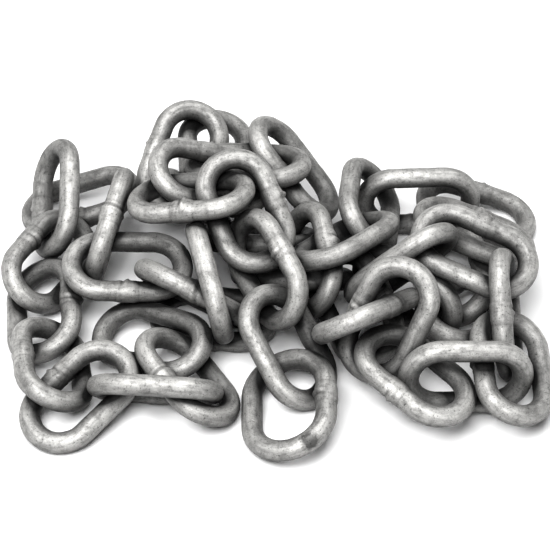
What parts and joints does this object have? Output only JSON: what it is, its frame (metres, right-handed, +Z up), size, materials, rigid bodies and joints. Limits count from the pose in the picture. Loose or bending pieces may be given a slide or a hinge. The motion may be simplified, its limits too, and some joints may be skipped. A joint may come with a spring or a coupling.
{
  "type": "heap of steel chain",
  "caption": "Loose heap of short-link galvanised steel chain, one length piled on itself on a level floor, stored as bulk stock.",
  "frame": {"origin": "middle of the heap's base on the floor", "axes": "+Z up from the floor, +X to the right along the heap's long side as seen from its front, +Y toward its back"},
  "size_m": [0.1468, 0.1184, 0.04],
  "materials": {
    "galvanised_steel": "matte hot-dip zinc, mottled light and dark grey"
  },
  "bodies": {
    "root": {"link_01": "galvanised_steel", "link_02": "galvanised_steel", "link_03": "galvanised_steel", "link_04": "galvanised_steel", "link_05": "galvanised_steel", "link_06": "galvanised_steel", "link_07": "galvanised_steel", "link_08": "galvanised_steel", "link_09": "galvanised_steel", "link_10": "galvanised_steel", "link_11": "galvanised_steel", "link_12": "galvanised_steel", "link_13": "galvanised_steel", "link_14": "galvanised_steel", "link_15": "galvanised_steel", "link_16": "galvanised_steel", "link_17": "galvanised_steel", "link_18": "galvanised_steel", "link_19": "galvanised_steel", "link_20": "galvanised_steel", "link_21": "galvanised_steel", "link_22": "galvanised_steel", "link_23": "galvanised_steel", "link_24": "galvanised_steel", "link_25": "galvanised_steel", "link_26": "galvanised_steel", "link_27": "galvanised_steel", "link_28": "galvanised_steel", "link_29": "galvanised_steel", "link_30": "galvanised_steel", "link_31": "galvanised_steel", "link_32": "galvanised_steel", "link_33": "galvanised_steel", "link_34": "galvanised_steel", "link_35": "galvanised_steel", "link_36": "galvanised_steel", "link_37": "galvanised_steel", "link_38": "galvanised_steel", "link_39": "galvanised_steel", "link_40": "galvanised_steel", "link_41": "galvanised_steel", "link_42": "galvanised_steel", "link_43": "galvanised_steel", "link_44": "galvanised_steel", "link_45": "galvanised_steel"}
  },
  "joints": []
}
